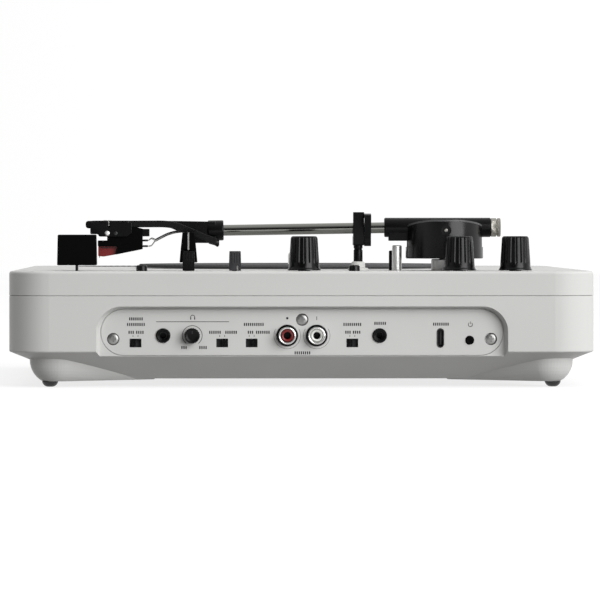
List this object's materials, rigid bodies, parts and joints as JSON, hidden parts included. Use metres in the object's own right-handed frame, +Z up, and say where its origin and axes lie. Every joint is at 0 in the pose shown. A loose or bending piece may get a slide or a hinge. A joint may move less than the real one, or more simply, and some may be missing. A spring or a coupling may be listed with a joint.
{
  "type": "turntable record player",
  "caption": "Portable belt-drive record player with crossfader, straight tonearm, slide controls and a recessed side connector panel; lid off.",
  "frame": {"origin": "on the surface it stands on, under the centre of the case", "axes": "+X towards the side with the connector panel, +Y towards the tonearm pivot end, +Z up"},
  "size_m": [0.373, 0.285, 0.0853],
  "materials": {
    "case_shell": "fine-textured light warm grey moulding",
    "panel_plate": "fine-textured light warm grey moulding",
    "black_plastic": "satin black moulding",
    "knob_black": "semi-gloss black moulding",
    "matte_black": "flat black moulding",
    "charcoal_plastic": "dark grey moulding",
    "rubber_black": "matt rubber",
    "bright_chrome": "polished plating",
    "nickel": "satin nickel plating",
    "screw_steel": "bright zinc plating",
    "platter_alloy": "fine-turned alloy",
    "slipmat_felt": "short dark grey felt",
    "red_plastic": "red moulding",
    "white_plastic": "white moulding",
    "circuit_board": "green solder mask",
    "battery_wrap": "blue shrink wrap",
    "lead_sleeve": "thin flexible sleeve"
  },
  "bodies": {
    "case": {"bottom_case": "case_shell", "top_case": "case_shell", "case_screws": "screw_steel", "rubber_feet": "rubber_black", "connector_plate": "panel_plate", "plate_screws": "bright_chrome", "rca_housing": "black_plastic", "rca_shells": "bright_chrome", "rca_insulator_red": "red_plastic", "rca_insulator_white": "white_plastic", "headphone_jack": "black_plastic", "aux_jack": "black_plastic", "usb_socket": "bright_chrome", "switch_bodies": "charcoal_plastic", "jack_board": "circuit_board", "main_board": "circuit_board", "battery_pack": "battery_wrap", "speaker_driver": "charcoal_plastic", "speaker_grille": "charcoal_plastic", "motor": "nickel", "drive_belt": "rubber_black", "bearing_housing": "nickel", "arm_post": "bright_chrome", "arm_rest": "black_plastic", "fader_bodies": "charcoal_plastic", "crossfader_plate": "panel_plate", "knob_pots": "nickel"},
    "turntable": {"platter": "platter_alloy", "slipmat": "slipmat_felt", "spindle": "bright_chrome"},
    "pulley": {"motor_pulley": "nickel"},
    "arm_base": {"arm_drum": "black_plastic", "pivot_screws": "nickel"},
    "arm": {"arm_housing": "black_plastic", "arm_tube": "bright_chrome", "arm_wand": "black_plastic", "headshell": "black_plastic", "headshell_screws": "bright_chrome", "cartridge": "matte_black", "stylus_unit": "red_plastic", "lead_wires": "lead_sleeve", "counterweight": "nickel"},
    "rest_latch": {"arm_rest_latch": "black_plastic"},
    "lever": {"cue_lever": "black_plastic"},
    "plunger": {"cue_plunger": "bright_chrome"},
    "crossfader": {"crossfader_cap": "matte_black"},
    "pitch_fader": {"pitch_fader_cap": "matte_black"},
    "tone_slider": {"tone_slider_cap": "charcoal_plastic"},
    "speed_slider": {"speed_slider_cap": "charcoal_plastic"},
    "volume": {"volume_knob": "knob_black"},
    "bass": {"bass_knob": "knob_black"},
    "treble": {"treble_knob": "knob_black"},
    "headphone_level": {"headphone_knob": "knob_black"},
    "fader_reverse": {"fader_reverse_slider": "matte_black"},
    "monitor": {"monitor_slider": "matte_black"},
    "cartridge_type": {"cartridge_slider": "matte_black"},
    "speaker_switch": {"speaker_slider": "matte_black"},
    "power": {"power_button": "matte_black"},
    "start": {"start_button": "knob_black"},
    "select": {"select_button": "knob_black"}
  },
  "joints": [
    {"name": "platter_spin", "type": "hinge", "parent": "case", "child": "turntable", "pos_m": [-0.02, 0, 0.05], "axis": [0, 0, -1], "continuous": true},
    {"name": "pulley_spin", "type": "hinge", "parent": "case", "child": "pulley", "pos_m": [-0.059, 0.0557, 0.05], "axis": [0, 0, -1], "continuous": true},
    {"name": "arm_swing", "type": "hinge", "parent": "case", "child": "arm_base", "pos_m": [0.135, 0.0712, 0.066], "axis": [0, 0, -1], "range_deg": [0, 45]},
    {"name": "arm_tilt", "type": "hinge", "parent": "arm_base", "child": "arm", "pos_m": [0.135, 0.0712, 0.0762], "axis": [-1, 0, 0], "range_deg": [-0.9, 12]},
    {"name": "latch_close", "type": "hinge", "parent": "case", "child": "rest_latch", "pos_m": [0.1403, 0.033, 0.0708], "axis": [0, -1, 0], "range_deg": [0, 29]},
    {"name": "cue_lever", "type": "hinge", "parent": "case", "child": "lever", "pos_m": [0.128, 0.0467, 0.0515], "axis": [0, -1, 0], "range_deg": [0, 30]},
    {"name": "cue_lift", "type": "slide", "parent": "case", "child": "plunger", "axis": [0, 0, 1], "range_m": [0, 0.0019]},
    {"name": "crossfade", "type": "slide", "parent": "case", "child": "crossfader", "axis": [-1, 0, 0], "range_m": [-0.02, 0.02]},
    {"name": "pitch", "type": "slide", "parent": "case", "child": "pitch_fader", "axis": [0, 1, 0], "range_m": [-0.022, 0.022]},
    {"name": "tone_slide", "type": "slide", "parent": "case", "child": "tone_slider", "axis": [0, 1, 0], "range_m": [-0.007, 0.007]},
    {"name": "speed_slide", "type": "slide", "parent": "case", "child": "speed_slider", "axis": [0, 1, 0], "range_m": [-0.007, 0.007]},
    {"name": "volume_turn", "type": "hinge", "parent": "case", "child": "volume", "pos_m": [0.166, 0.00125, 0.06], "axis": [0, 0, -1], "range_deg": [-140, 140]},
    {"name": "bass_turn", "type": "hinge", "parent": "case", "child": "bass", "pos_m": [0.166, 0.0771, 0.06], "axis": [0, 0, -1], "range_deg": [-140, 140]},
    {"name": "treble_turn", "type": "hinge", "parent": "case", "child": "treble", "pos_m": [0.166, 0.1044, 0.06], "axis": [0, 0, -1], "range_deg": [-140, 140]},
    {"name": "headphone_turn", "type": "hinge", "parent": "case", "child": "headphone_level", "pos_m": [0.182, -0.0533, 0.0252], "axis": [1, 0, 0], "range_deg": [-140, 140]},
    {"name": "fader_reverse_slide", "type": "slide", "parent": "case", "child": "fader_reverse", "axis": [0, 1, 0], "range_m": [0, 0.0024]},
    {"name": "monitor_slide", "type": "slide", "parent": "case", "child": "monitor", "axis": [0, -1, 0], "range_m": [0, 0.0024]},
    {"name": "cartridge_slide", "type": "slide", "parent": "case", "child": "cartridge_type", "axis": [0, -1, 0], "range_m": [0, 0.0024]},
    {"name": "speaker_slide", "type": "slide", "parent": "case", "child": "speaker_switch", "axis": [0, 1, 0], "range_m": [0, 0.0024]},
    {"name": "power_press", "type": "slide", "parent": "case", "child": "power", "axis": [-1, 0, 0], "range_m": [0, 0.0008], "stiffness_N_per_m": 300, "springref_m": -0.001},
    {"name": "start_press", "type": "slide", "parent": "case", "child": "start", "axis": [0, 0, -1], "range_m": [0, 0.0012], "stiffness_N_per_m": 300, "springref_m": -0.001},
    {"name": "select_press", "type": "slide", "parent": "case", "child": "select", "axis": [0, 0, -1], "range_m": [0, 0.0012], "stiffness_N_per_m": 300, "springref_m": -0.001}
  ],
  "couplings": [
    {"joint": "pulley_spin", "follows": "platter_spin", "ratio": 10.577},
    {"joint": "cue_lever", "follows": "cue_lift", "rad_per_m": 275.57}
  ]
}
